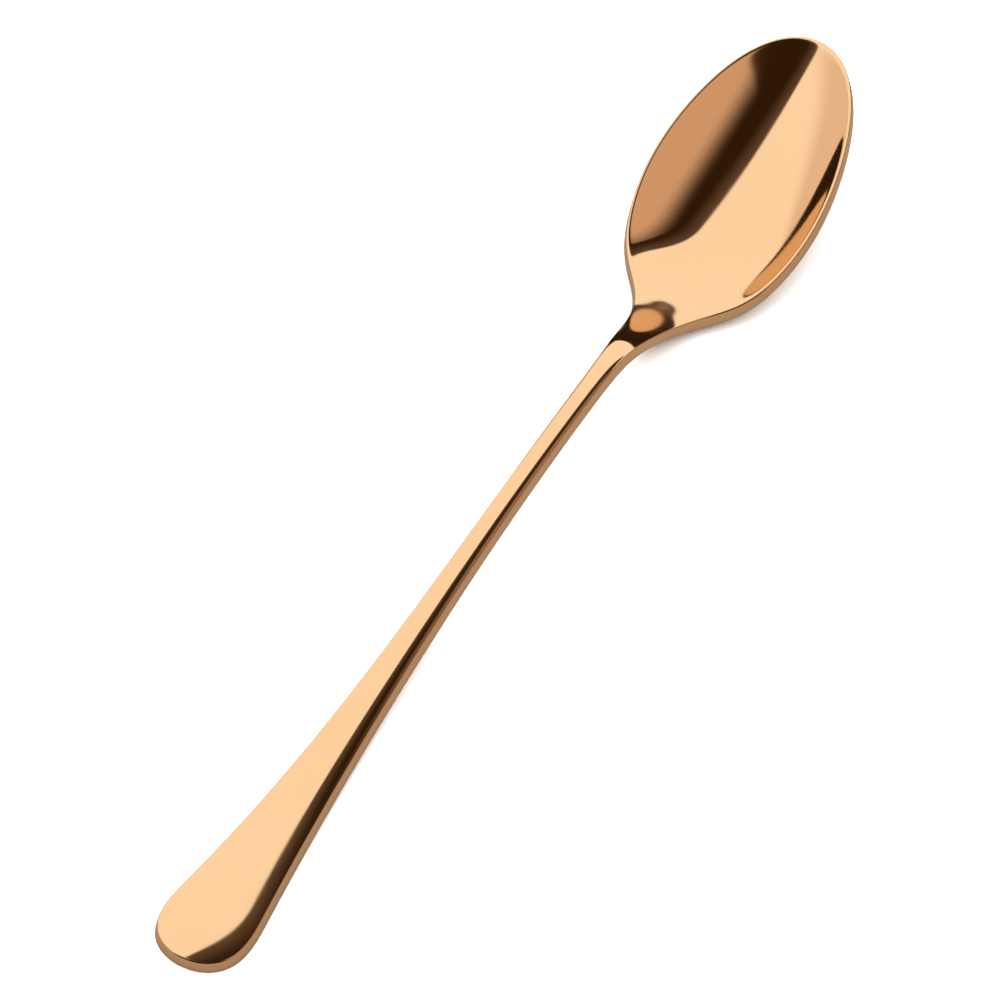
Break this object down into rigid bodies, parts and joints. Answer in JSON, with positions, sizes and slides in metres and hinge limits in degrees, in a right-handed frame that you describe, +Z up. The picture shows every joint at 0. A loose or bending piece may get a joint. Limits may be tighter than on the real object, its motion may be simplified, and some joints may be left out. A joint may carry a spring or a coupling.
{
  "type": "iced tea spoon",
  "caption": "Long-handled iced tea spoon: slender tapered handle with a low crown, narrow neck that drops into the heel, and a deep egg-shaped bowl, mirror-polished in a copper colour",
  "frame": {"origin": "on the table that the spoon rests on, under the middle of its length and width", "axes": "+X from the handle's end to the bowl's tip, +Y across the spoon to the left, +Z up out of the bowl"},
  "size_m": [0.195, 0.0306, 0.0202],
  "materials": {
    "copper_film": "mirror-polished stainless steel with a vacuum-deposited copper coloured film"
  },
  "bodies": {
    "root": {"spoon": "copper_film"}
  },
  "joints": []
}
